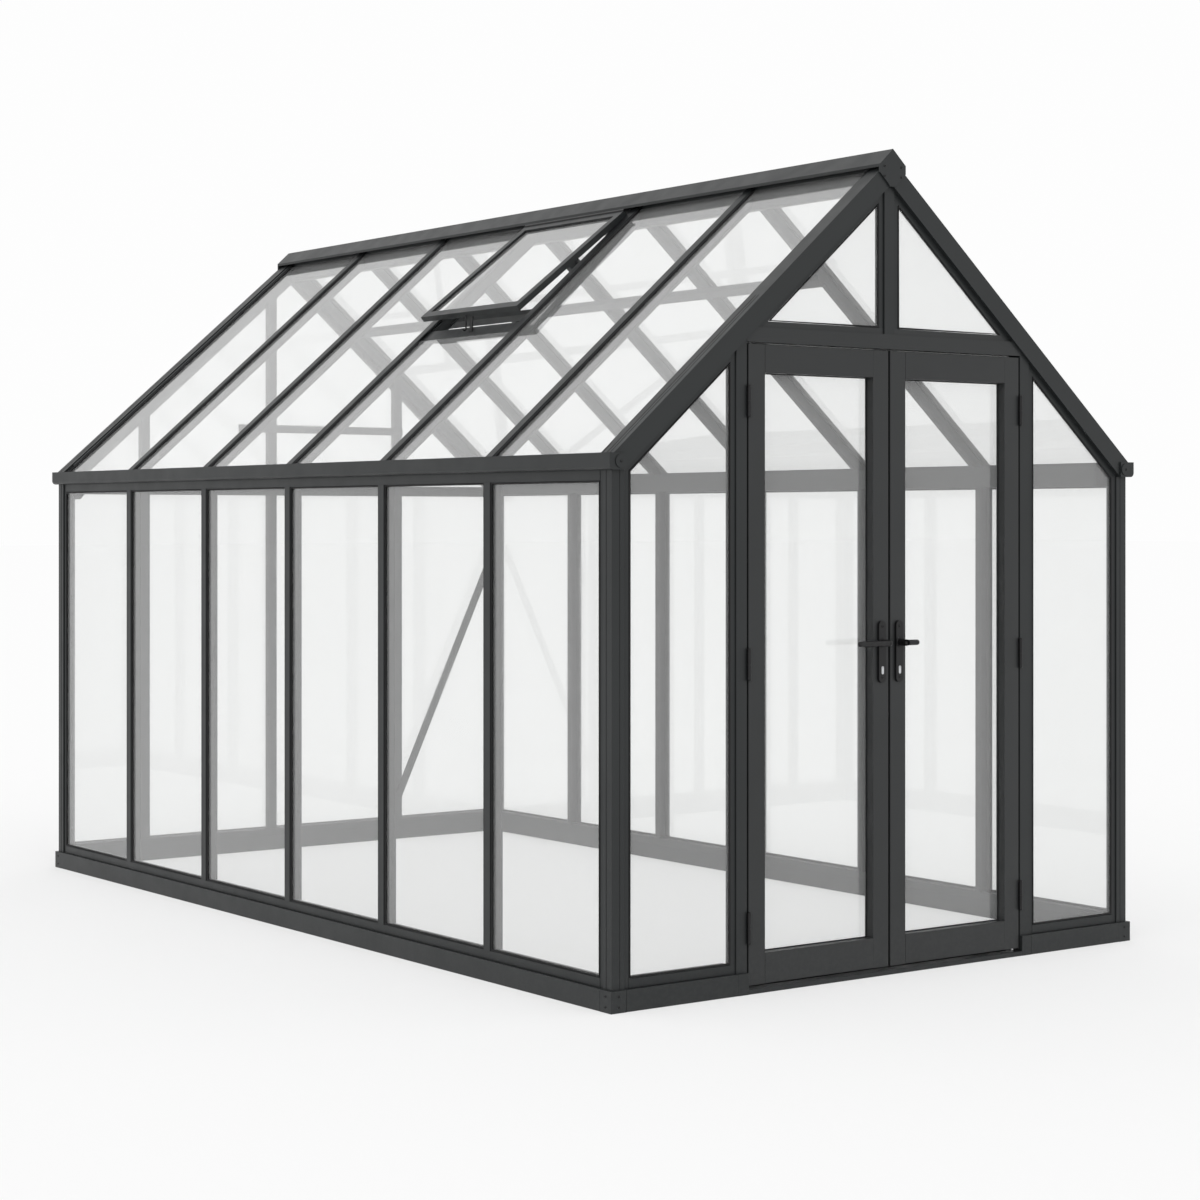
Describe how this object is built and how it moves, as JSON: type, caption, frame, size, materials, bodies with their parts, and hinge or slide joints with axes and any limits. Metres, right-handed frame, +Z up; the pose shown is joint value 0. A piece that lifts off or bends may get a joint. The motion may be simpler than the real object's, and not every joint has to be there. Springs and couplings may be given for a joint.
{
  "type": "glass greenhouse",
  "caption": "Apex-roofed glass greenhouse with a dark aluminium frame on a low plinth, outward-opening double doors in one gable, gutters and an open roof vent.",
  "frame": {"origin": "on the ground at the middle of the plan", "axes": "+X to the right when facing the doors, +Y from the doors to the back gable, +Z up"},
  "size_m": [2.12, 3.747, 2.4871],
  "materials": {
    "anthracite_frame": "satin anthracite powder coat on aluminium extrusions",
    "black_hardware": "satin black coated hinges, handles and stay",
    "clear_glass": "clear 4 mm toughened glass with a faint green-grey tint",
    "rubber_gasket": "matt black glazing beads and door seals"
  },
  "bodies": {
    "frame": {"plinth_rails": "anthracite_frame", "plinth_corners": "anthracite_frame", "threshold": "anthracite_frame", "sill_rails": "anthracite_frame", "corner_posts": "anthracite_frame", "wall_bars": "anthracite_frame", "eave_beams": "anthracite_frame", "gutters": "anthracite_frame", "gutter_end_caps": "anthracite_frame", "front_left_rafter": "anthracite_frame", "front_right_rafter": "anthracite_frame", "back_left_rafter": "anthracite_frame", "back_right_rafter": "anthracite_frame", "roof_bars": "anthracite_frame", "roof_purlin": "anthracite_frame", "ridge_beam": "anthracite_frame", "ridge_cap": "anthracite_frame", "ridge_end_caps": "anthracite_frame", "door_posts": "anthracite_frame", "door_header": "anthracite_frame", "gable_mullion": "anthracite_frame", "back_posts": "anthracite_frame", "back_rails": "anthracite_frame", "back_brace": "anthracite_frame", "wall_glass": "clear_glass", "roof_glass": "clear_glass", "front_glass": "clear_glass", "back_glass": "clear_glass", "vent_sill": "anthracite_frame", "vent_frame": "anthracite_frame", "vent_glass": "clear_glass", "vent_stay": "black_hardware", "post_hinges": "black_hardware"},
    "door_left": {"left_door_stiles": "anthracite_frame", "left_door_rails": "anthracite_frame", "left_door_glass": "clear_glass", "left_door_hinges": "black_hardware", "left_handle_plate": "black_hardware"},
    "lever_left": {"left_lever": "black_hardware"},
    "door_right": {"right_door_stiles": "anthracite_frame", "right_door_rails": "anthracite_frame", "right_door_glass": "clear_glass", "right_door_hinges": "black_hardware", "right_handle_plate": "black_hardware"},
    "lever_right": {"right_lever": "black_hardware"}
  },
  "joints": [
    {"name": "left_door_swing", "type": "hinge", "parent": "frame", "child": "door_left", "pos_m": [-0.552, -1.846, 0.95], "axis": [0, 0, -1], "range_deg": [0, 110]},
    {"name": "right_door_swing", "type": "hinge", "parent": "frame", "child": "door_right", "pos_m": [0.552, -1.846, 0.95], "axis": [0, 0, 1], "range_deg": [0, 110]},
    {"name": "left_lever_turn", "type": "hinge", "parent": "door_left", "child": "lever_left", "pos_m": [-0.035, -1.84, 1], "axis": [0, -1, 0], "range_deg": [0, 45], "stiffness_Nm_per_rad": 0.6, "springref_deg": -28.65},
    {"name": "right_lever_turn", "type": "hinge", "parent": "door_right", "child": "lever_right", "pos_m": [0.035, -1.84, 1], "axis": [0, 1, 0], "range_deg": [0, 45], "stiffness_Nm_per_rad": 0.6, "springref_deg": -28.65}
  ]
}
